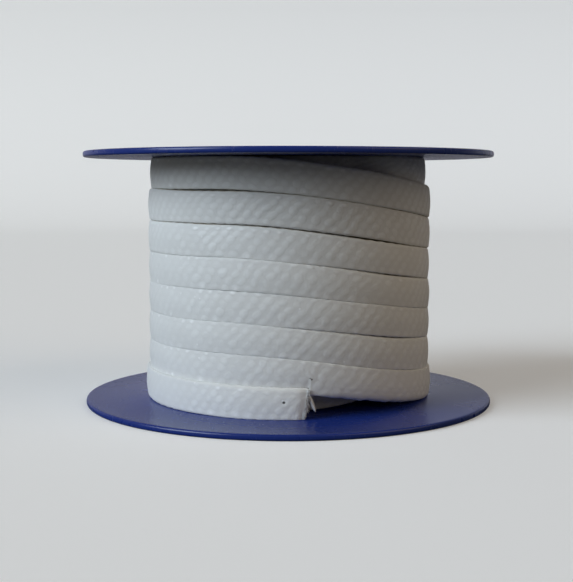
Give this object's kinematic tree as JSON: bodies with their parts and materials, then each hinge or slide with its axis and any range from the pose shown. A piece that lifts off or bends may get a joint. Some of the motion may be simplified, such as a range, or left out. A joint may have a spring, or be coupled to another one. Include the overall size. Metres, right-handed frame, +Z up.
{
  "type": "gland packing reel",
  "caption": "Reel of square braided gland packing: white rope wound in two layers between thin round flanges on a core tube with an arbor bore.",
  "frame": {"origin": "middle of the lower flange's outer face, which the reel stands on", "axes": "+Z up along the reel's axis, the side with the rope's cut end faces -Y"},
  "size_m": [0.168, 0.168, 0.1031],
  "materials": {
    "flange": "satin moulded dark blue plastic",
    "core": "plain spiral-wound paperboard",
    "packing": "white square braid with a slight waxy gloss"
  },
  "bodies": {
    "root": {"lower_flange": "flange", "core_tube": "core", "packing": "packing", "upper_flange": "flange"}
  },
  "joints": []
}
